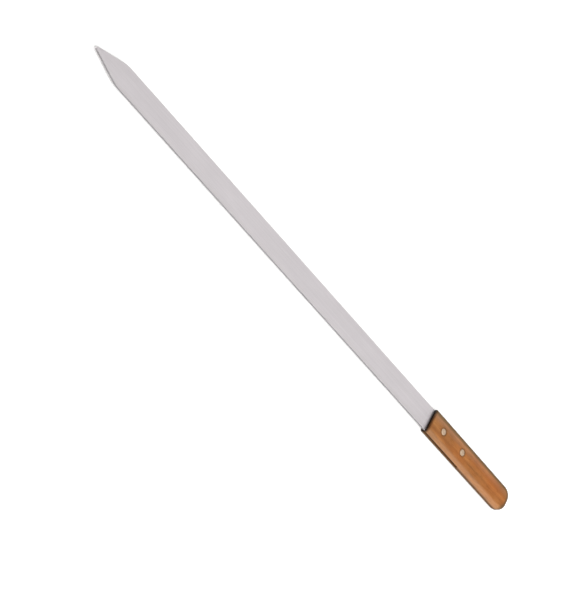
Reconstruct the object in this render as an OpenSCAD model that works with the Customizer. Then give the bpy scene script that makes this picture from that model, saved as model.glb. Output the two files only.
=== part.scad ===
// Flat barbecue skewer: a pointed steel strip let into a saw kerf in a one-piece wooden handle,
// and held there by two two-part rivets. Millimetres.
// The point is at -X and the butt at +X, Y runs across the strip, and the handle's underside
// lies on z = 0 with the origin under the middle of the skewer.

/* [Blade] */
// Length of the whole skewer, from the point to the butt
skewer_len = 600; // [450:10:750]
// Width of the steel strip
blade_w = 22; // [20:0.5:30]
// Thickness of the steel strip
blade_t = 2; // [1.5:0.1:3]
// Full angle of the point, seen from above
point_angle = 34; // [24:1:60]
// Radius that blends the point into the edges of the strip
shoulder_r = 30; // [5:5:50]
// Radius of the blunted tip
tip_r = 1.4; // [0.4:0.1:2]
// Steel behind the rear rivet's axis, up to the end of the tang
tang_margin = 4; // [3.5:0.5:8]

/* [Handle] */
// Length of the handle
handle_len = 122; // [100:1:140]
// Wood above the tang, and the same again below it
cheek_t = 4; // [3:0.5:6]
// Wood standing past the strip on each side
side_step = 1; // [0.25:0.25:1.5]
// Radius of the long edges and of the butt's edges
edge_r = 3; // [1:0.5:3.5]
// Radius of the butt's two corners, seen from above
butt_r = 10; // [6:0.5:10]
// Empty kerf behind the end of the tang
kerf_gap = 1.5; // [0.5:0.5:4]

/* [Rivets] */
// Front rivet's axis, measured back from the handle's front end
front_rivet_at = 17; // [12:1:22]
// Distance between the two rivets
rivet_pitch = 30; // [24:1:36]
// Diameter of the rivet heads
head_d = 6; // [5.5:0.5:8]
// Thickness of the rivet heads
head_t = 1.2; // [0.8:0.1:1.5]
// Outside diameter of the rivet's barrel
barrel_d = 4; // [3.6:0.1:4.4]
// Diameter of the pin that is driven into the barrel
pin_d = 2.6; // [2:0.1:2.8]
// Clearance around the barrel and the heads
hole_gap = 0.1; // [0.05:0.05:0.2]

/* [Hidden] */
$fn = 96;
handle_w = blade_w + 2 * side_step;
handle_t = blade_t + 2 * cheek_t;
tip_x = -skewer_len / 2;
butt_x = skewer_len / 2;
front_x = butt_x - handle_len;
tang_len = front_rivet_at + rivet_pitch + tang_margin;
kerf_len = tang_len + kerf_gap;
front_rivet_x = front_x + front_rivet_at;
rear_rivet_x = front_rivet_x + rivet_pitch;
// Clear air at the blind end of the barrel and below its mouth
barrel_end_gap = 1;
// How far a cutting shape runs past the face that it cuts
over = 1;

STEEL = [0.82, 0.80, 0.81];
WOOD = [0.70, 0.45, 0.27];
ALUMINIUM = [0.80, 0.75, 0.69];

function arc(centre, r, from, to, steps) =
    [for (i = [0:steps]) let (a = from + (to - from) * i / steps) centre + r * [cos(a), sin(a)]];

// A blunted point, two straight sides tangent to its rounding, and two rounded shoulders
module blade_outline() {
    half = point_angle / 2;
    tip_centre = [tip_x + tip_r, 0];
    shoulder_y = blade_w / 2 - shoulder_r;
    shoulder_x = tip_centre.x + (shoulder_r - tip_r + cos(half) * shoulder_y) / sin(half);
    tang_x = front_x + tang_len;
    polygon(concat(
        arc(tip_centre, tip_r, 90 + half, 270 - half, 12),
        arc([shoulder_x, -shoulder_y], shoulder_r, 270 - half, 270, 6),
        [[tang_x, -blade_w / 2], [tang_x, blade_w / 2]],
        arc([shoulder_x, shoulder_y], shoulder_r, 90, 90 + half, 6)));
}

// Square with its outer corners rounded, from the middle of the handle out to its edge
module edge_profile(reach) {
    for (side = [-1, 1])
        translate([reach - edge_r, side * (handle_t / 2 - edge_r)]) circle(edge_r);
    translate([0, -handle_t / 2]) square([reach - edge_r, handle_t]);
    translate([0, edge_r - handle_t / 2]) square([reach, handle_t - 2 * edge_r]);
}

module handle_blank() {
    corner_x = butt_x - butt_r;
    corner_y = handle_w / 2 - butt_r;
    translate([0, 0, handle_t / 2]) {
        translate([front_x, 0, 0]) rotate([90, 0, 90]) linear_extrude(corner_x - front_x)
            for (flip = [0, 1]) mirror([flip, 0]) edge_profile(handle_w / 2);
        for (side = [-1, 1])
            translate([corner_x, side * corner_y, 0]) rotate_extrude() edge_profile(butt_r);
        translate([corner_x, corner_y, 0]) rotate([90, 0, 0])
            linear_extrude(2 * corner_y) edge_profile(butt_r);
    }
}

module rivet_holes() {
    for (x = [front_rivet_x, rear_rivet_x]) translate([x, 0, 0]) {
        translate([0, 0, -over]) cylinder(h = handle_t + 2 * over, d = barrel_d + 2 * hole_gap);
        translate([0, 0, -over]) cylinder(h = head_t + over, d = head_d + 2 * hole_gap);
        translate([0, 0, handle_t - head_t])
            cylinder(h = head_t + over, d = head_d + 2 * hole_gap);
    }
}

module blade() {
    color(STEEL) difference() {
        translate([0, 0, cheek_t]) linear_extrude(blade_t) blade_outline();
        rivet_holes();
    }
}

module handle() {
    color(WOOD) difference() {
        handle_blank();
        translate([front_x - over, -handle_w / 2 - over, cheek_t])
            cube([kerf_len + over, handle_w + 2 * over, blade_t]);
        rivet_holes();
    }
}

// Barrel half of a rivet: its head lies flush in the handle's upper face
module rivet_socket(x) {
    color(ALUMINIUM) translate([x, 0, 0]) difference() {
        union() {
            translate([0, 0, handle_t - head_t]) cylinder(h = head_t, d = head_d);
            translate([0, 0, head_t + barrel_end_gap])
                cylinder(h = handle_t - 2 * head_t - barrel_end_gap, d = barrel_d);
        }
        translate([0, 0, head_t]) cylinder(h = handle_t - 2 * head_t, d = pin_d);
    }
}

// Pin half of a rivet: its head lies flush in the handle's underside
module rivet_pin(x) {
    color(ALUMINIUM) translate([x, 0, 0]) {
        cylinder(h = head_t, d = head_d);
        cylinder(h = handle_t - head_t - barrel_end_gap, d = pin_d);
    }
}

module front_rivet_socket() { rivet_socket(front_rivet_x); }
module front_rivet_pin() { rivet_pin(front_rivet_x); }
module rear_rivet_socket() { rivet_socket(rear_rivet_x); }
module rear_rivet_pin() { rivet_pin(rear_rivet_x); }

blade();
handle();
front_rivet_socket();
front_rivet_pin();
rear_rivet_socket();
rear_rivet_pin();
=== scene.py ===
"""Looks of a flat barbecue skewer: a steel strip, a wooden handle and four rivet halves. Metres."""
import math

import bmesh
import bpy
from mathutils import Matrix, Vector


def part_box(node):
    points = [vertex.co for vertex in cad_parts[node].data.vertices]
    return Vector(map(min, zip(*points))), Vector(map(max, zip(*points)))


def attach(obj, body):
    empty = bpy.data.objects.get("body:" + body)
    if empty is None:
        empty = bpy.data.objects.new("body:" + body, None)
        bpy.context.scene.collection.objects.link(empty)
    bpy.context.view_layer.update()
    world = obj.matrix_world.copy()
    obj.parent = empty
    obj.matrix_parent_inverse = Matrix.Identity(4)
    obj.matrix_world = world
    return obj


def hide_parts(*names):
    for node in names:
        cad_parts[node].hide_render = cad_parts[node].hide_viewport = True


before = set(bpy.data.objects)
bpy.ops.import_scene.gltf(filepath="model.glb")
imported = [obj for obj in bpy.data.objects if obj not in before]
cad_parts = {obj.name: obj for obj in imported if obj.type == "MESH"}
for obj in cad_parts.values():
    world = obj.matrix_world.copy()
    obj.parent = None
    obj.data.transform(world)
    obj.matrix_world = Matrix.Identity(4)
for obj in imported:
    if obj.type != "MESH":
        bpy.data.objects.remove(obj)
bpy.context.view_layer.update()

MM = 0.001
blade_low, blade_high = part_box("blade")
handle_low, handle_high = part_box("handle")
RIVETS = ("front_rivet", "rear_rivet")

# Blade: its point and its edges, then how finely its mesh is divided
POINT_HALF_ANGLE = math.radians(17)
TIP_R = 1.4 * MM
SHOULDER_R = 30 * MM
BLADE_EDGE_R = 0.15 * MM
BLADE_RIM = 0.55 * MM
TIP_STEPS = 8
SLANT_STEPS = 6
SHOULDER_STEPS = 12
BLADE_EDGE_STEPS = 4
BLADE_STATION = 12 * MM
BLADE_COLUMNS = 4

# Handle: its long edges swell a little towards the butt, and its broad faces are crowned
EDGE_R_FRONT = 2.8 * MM
EDGE_R_BUTT = 3.8 * MM
BUTT_R = 10 * MM
FRONT_EDGE_R = 0.8 * MM
CROWN = 0.12 * MM
KERF_LEN = 52.5 * MM
KERF_CHAMFER = 0.18 * MM
HANDLE_STATION = 3 * MM
CROWN_STEPS = 4
EDGE_STEPS = 12
FRONT_EDGE_STEPS = 4
CORNER_STEPS = 16

# Rivets: the barrel and the pin, their clearances, and the softened rim of a head
HEAD_T = 1.2 * MM
BARREL_R = 2 * MM
PIN_R = 1.3 * MM
PIN_GAP = 0.01 * MM
PIN_LEAD = 0.2 * MM
HOLE_GAP = 0.1 * MM
SEAT_CHAMFER = 0.06 * MM
HEAD_DOME = 0.1 * MM
HEAD_RIM = 0.25 * MM
BARREL_END_GAP = 1 * MM
DOME_STEPS = 6
RIM_STEPS = 5
LATHE_STEPS = 72

# How far a cutting shape runs past the surface that it cuts
OVER = 1 * MM
# Vertices nearer to each other than this are one
WELD = 0.001 * MM
WELD_AFTER_CUT = 0.002 * MM
# Faces that meet at more than this angle keep a sharp edge
CREASE = math.radians(35)

# Each from where it is nil to where it is full: a painted highlight along the near edge, a darker streak
# in the wood beside it, and a painted sheen over the far half. The near side is -Y
NEAR_EDGE_HIGHLIGHT = (-8 * MM, -10.5 * MM)
DARK_STREAK_Y = -5.5 * MM
DARK_STREAK = (3 * MM, 1 * MM)
FAR_SHEEN_HALF = (1 * MM, 6 * MM)
# Painted shade, also from nil to full: distances out to the outline, places along Y and Z, and the
# stretch before the butt over which the rim's painted shade crosses to the near side
RIM_SHADE = (BUTT_R - 5.6 * MM, BUTT_R - 3.4 * MM)
RIM_SHADE_Y = (-7 * MM, -5 * MM)
BUTT_SHADE = (9 * MM, 5 * MM)
SIDE_SHADE = (BUTT_R - 3 * MM, BUTT_R - 1.5 * MM)
SIDE_SHADE_Z = (6.4 * MM, 4.8 * MM)
# From full to nil: painted shade on the end grain behind the front end and away from the blade, painted
# shade past the kerf's walls, and grime round a rivet's head. The scorched stretch fades over its whole
# length
FRONT_SHADE = (0.3 * MM, 1.8 * MM)
FRONT_SHADE_OFF_MIDDLE = (2 * MM, 4.2 * MM)
SCORCH_LEN = 36 * MM
KERF_SHADE = (0.02 * MM, 0.2 * MM)
GRIME = (0.3 * MM, 2.2 * MM)
# Where painted shade starts on the steel, around the handle's front end, for the tang in the kerf
TANG_SHADE = (-0.2 * MM, 0.3 * MM)


# ---------------------------------------------------------------- mesh tools

def finish_mesh(mesh, bm):
    """Writes a bmesh into a mesh whose faces shade smoothly up to the crease angle."""
    bm.to_mesh(mesh)
    bm.free()
    mesh.shade_smooth()
    mesh.set_sharp_from_angle(angle=CREASE)


def new_piece(name, bm):
    """Turns a bmesh into an object."""
    bmesh.ops.remove_doubles(bm, verts=bm.verts, dist=WELD)
    bmesh.ops.recalc_face_normals(bm, faces=bm.faces)
    mesh = bpy.data.meshes.new(name)
    finish_mesh(mesh, bm)
    piece = bpy.data.objects.new(name, mesh)
    bpy.context.collection.objects.link(piece)
    return piece


def quads_between(bm, row, next_row, closed=False):
    """Fills the strip between two rows of vertices."""
    count = len(row)
    for i in range(count if closed else count - 1):
        corners = (row[i], row[(i + 1) % count], next_row[(i + 1) % count], next_row[i])
        distinct = list(dict.fromkeys(corners))
        if len(distinct) > 2:
            bm.faces.new(distinct)


def lathe(bm, centre, profile):
    """Spins a profile of (radius, z) points about a vertical axis. Radius 0 closes an end."""
    rings = []
    for radius, z in profile:
        if radius == 0:
            rings.append([bm.verts.new((centre.x, centre.y, z))] * LATHE_STEPS)
            continue
        angles = (2 * math.pi * i / LATHE_STEPS for i in range(LATHE_STEPS))
        rings.append([bm.verts.new((centre.x + radius * math.cos(a), centre.y + radius * math.sin(a), z))
                      for a in angles])
    for ring, next_ring in zip(rings, rings[1:]):
        quads_between(bm, ring, next_ring, closed=True)


def arc(centre, radius, start, end, steps):
    """Points of an arc, each with its outward direction. Angles are in radians."""
    points = []
    for i in range(steps + 1):
        a = start + (end - start) * i / steps
        out = Vector((math.cos(a), math.sin(a)))
        points.append((centre + radius * out, out))
    return points


def quarter_round(radius, steps):
    """Inset and drop along a rounded edge, from the face on top round to the face at the side."""
    angles = (math.pi / 2 * (1 - i / steps) for i in range(steps + 1))
    return [(radius * (1 - math.cos(a)), radius * (1 - math.sin(a))) for a in angles]


def cut(piece, cutters):
    """Takes the cutters out of a piece for good."""
    for cutter in cutters:
        modifier = piece.modifiers.new("cut", "BOOLEAN")
        modifier.operation = "DIFFERENCE"
        modifier.solver = "EXACT"
        modifier.object = cutter
    shaped = piece.evaluated_get(bpy.context.evaluated_depsgraph_get())
    mesh = bpy.data.meshes.new_from_object(shaped)
    piece.modifiers.clear()
    piece.data = mesh
    for cutter in cutters:
        bpy.data.objects.remove(cutter)
    bm = bmesh.new()
    bm.from_mesh(mesh)
    bmesh.ops.remove_doubles(bm, verts=bm.verts, dist=WELD_AFTER_CUT)
    bmesh.ops.dissolve_degenerate(bm, edges=bm.edges, dist=WELD_AFTER_CUT)
    finish_mesh(mesh, bm)


# ---------------------------------------------------------------- pieces

def rivet_centre(rivet):
    low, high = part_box(rivet + "_socket")
    return (Vector(low) + Vector(high)) / 2


def head_radius():
    low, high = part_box("front_rivet_socket")
    return (high[0] - low[0]) / 2


def blade_stations():
    """One edge of the strip from the point to the tang's end, each place with its outward direction."""
    half_w = blade_high[1]
    tip = Vector((blade_low[0] + TIP_R, 0))
    shoulder_y = half_w - SHOULDER_R
    run = (SHOULDER_R - TIP_R + math.cos(POINT_HALF_ANGLE) * shoulder_y) / math.sin(POINT_HALF_ANGLE)
    shoulder = Vector((tip.x + run, shoulder_y))
    side = math.pi / 2
    stations = arc(tip, TIP_R, math.pi, side + POINT_HALF_ANGLE, TIP_STEPS)
    point_end, slant = stations[-1]
    rounding = arc(shoulder, SHOULDER_R, side + POINT_HALF_ANGLE, side, SHOULDER_STEPS)
    stations += [(point_end.lerp(rounding[0][0], i / SLANT_STEPS), slant) for i in range(1, SLANT_STEPS)]
    stations += rounding
    start_x, end_x = shoulder.x, blade_high[0]
    count = round((end_x - start_x) / BLADE_STATION)
    out = Vector((0, 1))
    stations += [(Vector((start_x + (end_x - start_x) * i / count, half_w)), out)
                 for i in range(1, count)]
    return stations + [(Vector((end_x, half_w)), Vector((1, 1)))]


def make_blade():
    """The strip: a grid over each broad face, joined round the outline by a softened edge."""
    bm = bmesh.new()
    stations = blade_stations()
    bottom, top = blade_low[2], blade_high[2]
    edge = quarter_round(BLADE_EDGE_R, BLADE_EDGE_STEPS)
    levels = [(BLADE_RIM, top)] + [(inset, top - drop) for inset, drop in edge]
    levels += [(inset, bottom + drop) for inset, drop in reversed(edge)] + [(BLADE_RIM, bottom)]

    def row(inset, z):
        """The whole outline at one level: far edge, across the tang's end, near edge back."""
        far = [place - inset * out for place, out in stations]
        end = far[-1]
        across = [Vector((end.x, end.y * k / BLADE_COLUMNS))
                  for k in range(BLADE_COLUMNS - 1, -BLADE_COLUMNS, -1)]
        near = [Vector((p.x, -p.y)) for p in reversed(far[1:])]
        return [bm.verts.new((*p, z)) for p in far + across + near]

    rows = [row(inset, z) for inset, z in levels]
    for outline, next_outline in zip(rows, rows[1:]):
        quads_between(bm, outline, next_outline, closed=True)
    last = len(stations) - 1
    for outline in (rows[0], rows[-1]):
        cross = [[outline[0]] * (2 * BLADE_COLUMNS + 1)]
        for i in range(1, last):
            far, near = outline[i], outline[-i]
            inner = [bm.verts.new(near.co.lerp(far.co, k / (2 * BLADE_COLUMNS)))
                     for k in range(2 * BLADE_COLUMNS - 1, 0, -1)]
            cross.append([far, *inner, near])
        cross.append(outline[last:last + 2 * BLADE_COLUMNS + 1])
        for line, next_line in zip(cross, cross[1:]):
            quads_between(bm, line, next_line)
    blade = new_piece("steel_blade", bm)
    holes = bmesh.new()
    hole_r = BARREL_R + HOLE_GAP
    for rivet in RIVETS:
        lathe(holes, rivet_centre(rivet), [(0, bottom - OVER), (hole_r, bottom - OVER),
                                           (hole_r, top + OVER), (0, top + OVER)])
    cut(blade, [new_piece("tang_holes", holes)])
    return blade


def handle_profile(edge_r, shrink):
    """Half the handle's section, from the top's inner column round the side to the bottom's:
    (inset from the side, height above the middle) with everything moved inwards by shrink."""
    half_t = (handle_high[2] - handle_low[2]) / 2
    shares = [k / CROWN_STEPS for k in range(CROWN_STEPS)]
    crowned = [(BUTT_R - (BUTT_R - edge_r) * share, CROWN * share ** 2) for share in shares]
    upper = [(inset, half_t - shrink - drop) for inset, drop in crowned]
    for inset, drop in quarter_round(edge_r - shrink, EDGE_STEPS):
        crown_here = CROWN * (1 - drop / (edge_r - shrink))
        upper.append((inset + shrink, half_t - shrink - drop - crown_here))
    return upper + [(inset, -height) for inset, height in reversed(upper)]


def make_handle():
    """The blank, with a rounded butt, then its saw kerf and rivet seats."""
    bm = bmesh.new()
    front, butt = handle_low[0], handle_high[0]
    middle_z = (handle_low[2] + handle_high[2]) / 2
    corner = Vector((butt - BUTT_R, handle_high[1] - BUTT_R))
    straight = [(front + run, shrink) for shrink, run in quarter_round(FRONT_EDGE_R, FRONT_EDGE_STEPS)]
    count = round((corner.x - front) / HANDLE_STATION)
    start_x = front + FRONT_EDGE_R
    straight += [(start_x + (corner.x - start_x) * i / count, 0) for i in range(1, count + 1)]

    def edge_radius(x):
        share = (x - front) / (butt - front)
        return EDGE_R_FRONT + (EDGE_R_BUTT - EDGE_R_FRONT) * share * share * (3 - 2 * share)

    halves = []
    for side in (1, -1):
        columns = []
        for x, shrink in straight:
            profile = handle_profile(edge_radius(x), shrink)
            columns.append([bm.verts.new((x, side * (handle_high[1] - inset), middle_z + height))
                            for inset, height in profile])
        profile = handle_profile(EDGE_R_BUTT, 0)
        for _, out in arc(corner, BUTT_R, math.pi / 2, 0, CORNER_STEPS)[1:]:
            columns.append([bm.verts.new((corner.x + (BUTT_R - inset) * out.x,
                                          side * (corner.y + (BUTT_R - inset) * out.y),
                                          middle_z + height)) for inset, height in profile])
        for column, next_column in zip(columns, columns[1:]):
            quads_between(bm, column, next_column)
        halves.append(columns)
    far, near = halves
    for end in (0, -1):
        quads_between(bm, [c[end] for c in far], [c[end] for c in near])
    quads_between(bm, far[-1], near[-1])
    bm.faces.new(far[0] + near[0][::-1])
    handle = new_piece("wooden_handle", bm)
    cut(handle, [kerf_cutter(), seat_cutter()])
    return handle


def kerf_cutter():
    """The saw kerf, flared by a small chamfer where it comes out of the wood."""
    bm = bmesh.new()
    middle_z = (blade_low[2] + blade_high[2]) / 2
    half_t = (blade_high[2] - blade_low[2]) / 2
    front, half_w = handle_low[0], handle_high[1]
    end_x = front + KERF_LEN
    rings = []
    for reach, sign in ((-KERF_CHAMFER, 1), (OVER, 1), (OVER, -1), (-KERF_CHAMFER, -1)):
        z = middle_z + sign * (half_t + reach + KERF_CHAMFER)
        corners = ((end_x, half_w + reach), (front - reach, half_w + reach),
                   (front - reach, -half_w - reach), (end_x, -half_w - reach))
        rings.append([bm.verts.new((x, y, z)) for x, y in corners])
    for ring, next_ring in zip(rings, rings[1:]):
        quads_between(bm, ring, next_ring)
    top, top_out, bottom_out, bottom = rings
    bm.faces.new(top)
    bm.faces.new(bottom)
    bm.faces.new((top[0], top_out[0], bottom_out[0], bottom[0]))
    bm.faces.new((top[3], top_out[3], bottom_out[3], bottom[3]))
    bm.faces.new((top[0], top[3], bottom[3], bottom[0]))
    return new_piece("kerf", bm)


def seat_cutter():
    """The through bores with a flared counterbore for a head at each end."""
    bm = bmesh.new()
    low, high = handle_low[2], handle_high[2]
    bore = BARREL_R + HOLE_GAP
    seat = head_radius() + HOLE_GAP
    lower = [(0, low - OVER), (seat + SEAT_CHAMFER + OVER, low - OVER), (seat + SEAT_CHAMFER, low),
             (seat, low + SEAT_CHAMFER), (seat, low + HEAD_T), (bore, low + HEAD_T)]
    upper = [(radius, low + high - z) for radius, z in reversed(lower)]
    for rivet in RIVETS:
        lathe(bm, rivet_centre(rivet), lower + upper)
    return new_piece("seats", bm)


def head_profile(face_z, down):
    """A rivet head from the middle of its slightly domed face to its shoulder. Down is 1 for a
    head that faces up and -1 for one that faces down."""
    radius = head_radius()
    rim_start = radius - HEAD_RIM
    shares = [k / DOME_STEPS for k in range(DOME_STEPS + 1)]
    dome = [(rim_start * share, face_z - down * HEAD_DOME * share ** 2) for share in shares]
    rim = [(radius - inset, face_z - down * (HEAD_DOME + drop))
           for inset, drop in quarter_round(HEAD_RIM, RIM_STEPS)[1:]]
    return dome + rim + [(radius, face_z - down * HEAD_T)]


def make_socket(rivet):
    """Upper half of a rivet: head and hollow barrel."""
    bm = bmesh.new()
    top, bottom = handle_high[2], handle_low[2]
    mouth = bottom + HEAD_T + BARREL_END_GAP
    profile = head_profile(top, 1)
    profile += [(BARREL_R, top - HEAD_T), (BARREL_R, mouth), (PIN_R, mouth),
                (PIN_R, top - HEAD_T), (0, top - HEAD_T)]
    lathe(bm, rivet_centre(rivet), profile)
    return new_piece(rivet + "_upper_half", bm)


def make_pin(rivet):
    """Lower half of a rivet: head and solid pin, with a small lead at the pin's end."""
    bm = bmesh.new()
    top, bottom = handle_high[2], handle_low[2]
    pin_top = top - HEAD_T - BARREL_END_GAP
    pin_r = PIN_R - PIN_GAP
    profile = head_profile(bottom, -1)
    profile += [(pin_r, bottom + HEAD_T), (pin_r, pin_top - PIN_LEAD), (pin_r - PIN_LEAD, pin_top),
                (0, pin_top)]
    lathe(bm, rivet_centre(rivet), profile)
    return new_piece(rivet + "_lower_half", bm)


# ---------------------------------------------------------------- materials

def linear(red, green, blue):
    """A colour given in 0 to 255 screen values, as the shader wants it."""
    def one(value):
        value /= 255
        return value / 12.92 if value <= 0.04045 else ((value + 0.055) / 1.055) ** 2.4
    return (one(red), one(green), one(blue), 1)


class Shader:
    """A material under construction. Scales are per metre along X, Y and Z of the frame."""

    def __init__(self, name, **constants):
        self.material = bpy.data.materials.new(name)
        self.material.use_nodes = True
        self.tree = self.material.node_tree
        self.surface = self.tree.nodes["Principled BSDF"]
        self.place = self.node("TexCoord").outputs["Object"]
        for name, value in constants.items():
            self.socket(name).default_value = value

    def socket(self, name):
        """A socket of the Principled shader, named in lower case with underscores."""
        return next(s for s in self.surface.inputs if s.name.lower() == name.replace("_", " "))

    def node(self, kind, inputs=None, **settings):
        made = self.tree.nodes.new("ShaderNode" + kind)
        for name, value in settings.items():
            setattr(made, name, value)
        for key, value in (inputs or {}).items():
            if isinstance(value, bpy.types.NodeSocket):
                self.tree.links.new(value, made.inputs[key])
            else:
                made.inputs[key].default_value = value
        return made

    def mapped(self, scale, shift=(0, 0, 0)):
        inputs = {"Vector": self.place, "Scale": scale, "Location": shift}
        return self.node("Mapping", inputs).outputs["Vector"]

    def noise(self, scale, detail=2.0, roughness=0.5, distortion=0.0, shift=(0, 0, 0)):
        inputs = {"Vector": self.mapped(scale, shift), "Scale": 1.0, "Detail": detail,
                  "Roughness": roughness, "Distortion": distortion}
        return self.node("TexNoise", inputs).outputs["Fac"]

    def math(self, operation, a, b=0.0):
        return self.node("Math", {0: a, 1: b}, operation=operation).outputs[0]

    def rescale(self, value, low, high, new_low=0.0, new_high=1.0):
        inputs = {"Value": value, "From Min": low, "From Max": high,
                  "To Min": new_low, "To Max": new_high}
        return self.node("MapRange", inputs).outputs[0]

    def ramp(self, value, stops):
        made = self.node("ValToRGB", {"Fac": value})
        elements = made.color_ramp.elements
        while len(elements) < len(stops):
            elements.new(1.0)
        for element, (position, colour) in zip(elements, stops):
            element.position, element.color = position, colour
        return made.outputs["Color"]

    def mix(self, factor, a, b):
        """The colour a, with a share of the colour b in its place."""
        made = self.node("Mix", {0: factor, 6: a, 7: b}, data_type="RGBA", blend_type="MIX")
        return made.outputs[2]

    def axis(self, vector, name):
        return self.node("SeparateXYZ", {0: vector}).outputs[name]

    def at(self, name):
        """The surface point's place along one axis of the frame."""
        return self.axis(self.place, name)

    def facing(self, name):
        """How squarely the surface faces along one axis of the frame, 0 to 1."""
        normal = self.node("TexCoord").outputs["Normal"]
        return self.math("ABSOLUTE", self.axis(normal, name))

    def bump(self, height, distance):
        made = self.node("Bump", {"Height": height, "Distance": distance, "Strength": 1.0})
        self.tree.links.new(made.outputs["Normal"], self.socket("normal"))

    def drive(self, **sockets):
        for name, source in sockets.items():
            self.tree.links.new(source, self.socket(name))


def steel_material():
    """Satin stainless strip, brushed lengthwise; painted shade on its duller cut edges and on its tang.
    """
    shader = Shader("satin_steel", metallic=1.0)
    hairlines = shader.noise((14, 9000, 9000), detail=3, roughness=0.7)
    streaks = shader.noise((5, 900, 900), detail=3, roughness=0.6)
    clouds = shader.noise((22, 90, 90), detail=3)
    scratches = shader.noise((60, 2600, 2600), detail=1, distortion=0.6, shift=(3, 7, 1))
    scratch = shader.rescale(scratches, 0.68, 0.74)
    tone = shader.math("ADD", shader.math("MULTIPLY", streaks, 0.6),
                       shader.math("MULTIPLY", clouds, 0.4))
    colour = shader.ramp(tone, [(0.3, linear(211, 206, 208)), (0.7, linear(223, 218, 220))])
    # The side faces: rougher as duller cut steel, and darker in colour as painted shade
    sheared_and_shaded = shader.rescale(shader.facing("Y"), 0.5, 0.9)
    colour = shader.mix(shader.math("MULTIPLY", sheared_and_shaded, 0.55), colour, linear(120, 118, 120))
    colour = shader.mix(shader.math("MULTIPLY", scratch, 0.25), colour, linear(235, 233, 234))
    rough = shader.rescale(hairlines, 0.3, 0.7, 0.49, 0.61)
    rough = shader.math("ADD", rough, shader.math("MULTIPLY", sheared_and_shaded, 0.15))
    # Painted shade: the tang darkened where it sits in the handle's kerf
    in_handle = shader.rescale(shader.at("X"), handle_low[0] + TANG_SHADE[0],
                               handle_low[0] + TANG_SHADE[1])
    colour = shader.mix(shader.math("MULTIPLY", in_handle, 0.85), colour, linear(96, 72, 46))
    shader.drive(base_color=colour, roughness=rough)
    height = shader.math("SUBTRACT", hairlines, shader.math("MULTIPLY", scratch, 0.8))
    shader.bump(height, 0.004 * MM)
    return shader.material


def wood_material():
    """Oiled orange-brown hardwood: rings and fibres run along the handle."""
    shader = Shader("oiled_hardwood", specular_ior_level=0.15)
    pith = (0, -16, 30)
    rings = shader.node("TexWave", {
        "Vector": shader.mapped((55, 1000, 1000), pith), "Scale": 0.105, "Distortion": 5.0,
        "Detail": 3.0, "Detail Scale": 1.2, "Detail Roughness": 0.6,
    }, wave_type="RINGS", rings_direction="X").outputs["Fac"]
    fibres = shader.noise((40, 1100, 1100), detail=5, roughness=0.62)
    threads = shader.noise((160, 6500, 6500), detail=2, roughness=0.6)
    patches = shader.noise((50, 110, 110), detail=2, shift=(2.3, 0.4, 0))
    pores = shader.rescale(shader.noise((150, 3000, 3000), detail=2), 0.55, 0.68)
    tone = shader.math("MULTIPLY", rings, 0.14)
    for part, share in ((fibres, 0.36), (patches, 0.5), (threads, 0.14)):
        tone = shader.math("ADD", tone, shader.math("MULTIPLY", part, share))
    colour = shader.ramp(tone, [
        (0.38, linear(112, 69, 33)), (0.52, linear(138, 87, 44)),
        (0.64, linear(150, 96, 50)), (0.8, linear(168, 113, 63))])
    warm = shader.rescale(shader.noise((20, 60, 60), shift=(7, 1, 4)), 0.45, 0.65)
    colour = shader.mix(shader.math("MULTIPLY", warm, 0.5), colour, linear(152, 82, 32))
    colour = shader.mix(shader.math("MULTIPLY", pores, 0.55), colour, linear(84, 46, 18))
    # Painted highlight and sheen beside a darker streak, painted shade on the edges, front end and kerf,
    # then grime
    colour = add_streak_and_painted_sheen(shader, colour)
    colour = shade_edges(shader, colour)
    colour = darken_front(shader, colour)
    colour = add_grime(shader, colour)
    rough = shader.rescale(fibres, 0.3, 0.7, 0.44, 0.6)
    shader.drive(base_color=colour, roughness=rough)
    height = shader.math("SUBTRACT", shader.math("ADD", fibres, threads), pores)
    shader.bump(height, 0.03 * MM)
    return shader.material


def add_streak_and_painted_sheen(shader, colour):
    """A painted highlight along the near edge, a darker streak in the wood beside it, and a painted
    sheen over the far half.
    """
    y = shader.at("Y")
    # Painted highlight: the near edge made paler
    pale = shader.rescale(y, *NEAR_EDGE_HIGHLIGHT)
    colour = shader.mix(shader.math("MULTIPLY", pale, 0.3), colour, linear(172, 138, 110))
    beside_pale = shader.math("ABSOLUTE", shader.math("SUBTRACT", y, DARK_STREAK_Y))
    dark = shader.rescale(beside_pale, *DARK_STREAK, 0, 0.25)
    colour = shader.mix(dark, colour, linear(126, 70, 28))
    # Painted sheen: the far half paled towards grey, most towards the front
    along = shader.rescale(shader.at("X"), handle_low[0], handle_high[0], 0.26, 0.1)
    far_sheen = shader.math("MULTIPLY", shader.rescale(y, *FAR_SHEEN_HALF), along)
    return shader.mix(far_sheen, colour, linear(168, 138, 118))


def distance_out(shader, x, y):
    """How far out a point lies from the handle's inner rectangle. Its outline is at BUTT_R."""
    past_corner = shader.math("MAXIMUM", shader.math("SUBTRACT", x, handle_high[0] - BUTT_R), 0.0)
    across = shader.math("MAXIMUM", shader.math("SUBTRACT", shader.math("ABSOLUTE", y),
                                                handle_high[1] - BUTT_R), 0.0)
    return shader.math("SQRT", shader.math("ADD", shader.math("MULTIPLY", past_corner, past_corner),
                                           shader.math("MULTIPLY", across, across)))


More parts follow.
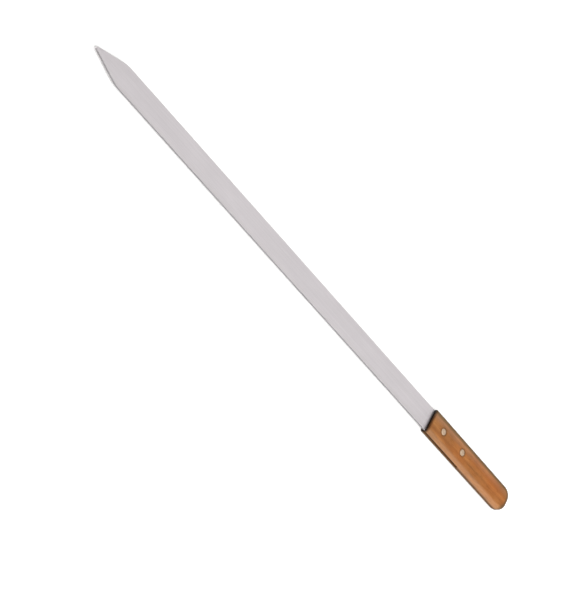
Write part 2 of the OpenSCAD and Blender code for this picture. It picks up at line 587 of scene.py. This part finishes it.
def shade_edges(shader, colour):
    """The rim of the faces, but for the near long edge, and the lower half of the sides, both
    darkened as painted shade."""
    x, y = shader.at("X"), shader.at("Y")
    out = distance_out(shader, x, y)
    at_butt = shader.rescale(x, handle_high[0] - BUTT_SHADE[0], handle_high[0] - BUTT_SHADE[1])
    off_near_edge = shader.math("MAXIMUM", at_butt, shader.rescale(y, *RIM_SHADE_Y))
    rim = shader.math("MULTIPLY", shader.rescale(out, *RIM_SHADE), off_near_edge)
    # Painted shade on the rim of the faces
    colour = shader.mix(shader.math("MULTIPLY", rim, 0.8), colour, linear(88, 70, 46))
    # Painted shade on the lower half of the sides
    side = shader.math("MULTIPLY", shader.rescale(shader.at("Z"), *SIDE_SHADE_Z),
                       shader.rescale(out, *SIDE_SHADE))
    return shader.mix(shader.math("MULTIPLY", side, 0.9), colour, linear(78, 50, 16))


def darken_front(shader, colour):
    """A scorched front end, painted shade on its end grain and in the saw kerf."""
    x = shader.at("X")
    front = handle_low[0]
    scorch = shader.rescale(x, front, front + SCORCH_LEN, 0.22, 0)
    colour = shader.mix(scorch, colour, linear(84, 70, 44))
    middle_z = (blade_low[2] + blade_high[2]) / 2
    off_middle = shader.math("ABSOLUTE", shader.math("SUBTRACT", shader.at("Z"), middle_z))
    # Painted shade on the front end face, deepest in the corner against the blade
    at_front = shader.rescale(x, front + FRONT_SHADE[0], front + FRONT_SHADE[1], 1, 0)
    near_blade = shader.rescale(off_middle, *FRONT_SHADE_OFF_MIDDLE, 0.97, 0.4)
    front_shade = shader.math("MULTIPLY", at_front, near_blade)
    colour = shader.mix(front_shade, colour, linear(22, 12, 6))
    half_t = (blade_high[2] - blade_low[2]) / 2
    # Painted shade in the kerf, past the blade's faces up to the kerf's end
    in_kerf = shader.rescale(off_middle, half_t + KERF_SHADE[0], half_t + KERF_SHADE[1], 1, 0)
    before_end = shader.rescale(x, front + KERF_LEN, front + KERF_LEN + KERF_SHADE[1], 1, 0)
    kerf = shader.math("MULTIPLY", in_kerf, before_end)
    return shader.mix(shader.math("MULTIPLY", kerf, 0.3), colour, linear(60, 36, 20))


def add_grime(shader, colour):
    """Grime gathered round each rivet."""
    for rivet in RIVETS:
        centre = rivet_centre(rivet)
        flat = shader.node("Mapping", {"Vector": shader.place, "Scale": (1, 1, 0),
                                       "Location": (-centre.x, -centre.y, 0)}).outputs["Vector"]
        away = shader.node("VectorMath", {0: flat}, operation="LENGTH").outputs["Value"]
        grime = shader.rescale(away, head_radius() + GRIME[0], head_radius() + GRIME[1], 0.5, 0)
        colour = shader.mix(grime, colour, linear(88, 60, 34))
    return colour


def rivet_material():
    """Dull aluminium, sanded along with the handle."""
    shader = Shader("sanded_aluminium", metallic=1.0)
    sanding = shader.noise((500, 9000, 9000), detail=3, roughness=0.7)
    blotches = shader.noise((700, 700, 700), detail=3)
    colour = shader.ramp(blotches, [(0.35, linear(190, 164, 139)), (0.65, linear(212, 187, 161))])
    shader.drive(base_color=colour, roughness=shader.rescale(sanding, 0.3, 0.7, 0.36, 0.55))
    shader.bump(sanding, 0.01 * MM)
    return shader.material


def floor_material():
    """Plain pale paper with a trace of tooth."""
    shader = Shader("pale_floor", roughness=0.85, specular_ior_level=0.2)
    mottle = shader.noise((30, 30, 30), detail=4)
    shader.drive(base_color=shader.ramp(mottle, [(0.3, linear(244, 244, 243)),
                                                 (0.7, linear(246, 246, 245))]))
    return shader.material


# ---------------------------------------------------------------- the model

def place_piece(piece, node, material):
    piece.data.materials.clear()
    piece.data.materials.append(material)
    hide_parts(node)
    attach(piece, "root")


place_piece(make_blade(), "blade", steel_material())
place_piece(make_handle(), "handle", wood_material())
metal = rivet_material()
for rivet in RIVETS:
    place_piece(make_socket(rivet), rivet + "_socket", metal)
    place_piece(make_pin(rivet), rivet + "_pin", metal)


# ---------------------------------------------------------------- stage, light and camera

FLOOR_SIZE = 2.6
# The world's strength as a light, and as the white that the camera sees behind everything
WORLD_LIGHT = 0.3
WORLD_SEEN = 1.0
# Seen from the point's end on the near side, with the picture turned so that the skewer runs
# from its upper left to its lower right
VIEW_AZIMUTH = math.radians(-45.86)
VIEW_ELEVATION = math.radians(44.94)
VIEW_ROLL = math.radians(84.02)
VIEW_DISTANCE = 2.2739
VIEW_LENS_MM = 162.44
VIEW_AIM = Vector((-0.0149, -0.0229, 0.005))
# Softboxes: name, place, side, watts, and whether the metal mirrors them. The key isn't mirrored,
# because the flat steel would turn white seen from above
SOFTBOXES = (
    ("key", (-0.35, -1.65, 2.4), 2.0, 104, False),
    ("edge_strip", (1.3, -0.86, 2.08), 0.7, 14, True),
    ("far_panel", (0.9, 0.85, 2.27), 2.4, 21.5, True),
)


def make_floor():
    bpy.ops.mesh.primitive_plane_add(size=FLOOR_SIZE, location=(0, 0, handle_low[2]))
    floor = bpy.context.object
    floor.name = "floor"
    floor.data.materials.append(floor_material())


def soft_light(name, place, size, watts, mirrored):
    """A square softbox aimed at the middle of the skewer."""
    data = bpy.data.lights.new(name, "AREA")
    data.size, data.energy = size, watts
    light = bpy.data.objects.new(name, data)
    light.location = place
    light.rotation_euler = Vector(place).to_track_quat("Z", "Y").to_euler()
    light.visible_glossy = mirrored
    bpy.context.collection.objects.link(light)


def make_world():
    world = bpy.data.worlds.new("studio")
    world.use_nodes = True
    nodes, links = world.node_tree.nodes, world.node_tree.links
    strength = nodes.new("ShaderNodeMapRange")
    strength.inputs["To Min"].default_value = WORLD_LIGHT
    strength.inputs["To Max"].default_value = WORLD_SEEN
    seen = nodes.new("ShaderNodeLightPath").outputs["Is Camera Ray"]
    links.new(seen, strength.inputs["Value"])
    nodes["Background"].inputs["Color"].default_value = (1, 1, 1, 1)
    links.new(strength.outputs[0], nodes["Background"].inputs["Strength"])
    bpy.context.scene.world = world


def make_camera():
    az, el, roll = VIEW_AZIMUTH, VIEW_ELEVATION, VIEW_ROLL
    back = Vector((math.sin(az) * math.cos(el), -math.cos(az) * math.cos(el), math.sin(el)))
    right = (-back).cross(Vector((0, 0, 1))).normalized()
    up = back.cross(right)
    rolled_right = right * math.cos(roll) + up * math.sin(roll)
    rolled_up = up * math.cos(roll) - right * math.sin(roll)
    data = bpy.data.cameras.new("view")
    data.lens = VIEW_LENS_MM
    camera = bpy.data.objects.new("view", data)
    turn = Matrix((rolled_right, rolled_up, back)).transposed().to_4x4()
    camera.matrix_world = Matrix.Translation(VIEW_AIM + back * VIEW_DISTANCE) @ turn
    bpy.context.collection.objects.link(camera)
    bpy.context.scene.camera = camera


make_floor()
make_world()
for softbox in SOFTBOXES:
    soft_light(*softbox)
make_camera()
bpy.context.scene.view_settings.view_transform = "Standard"
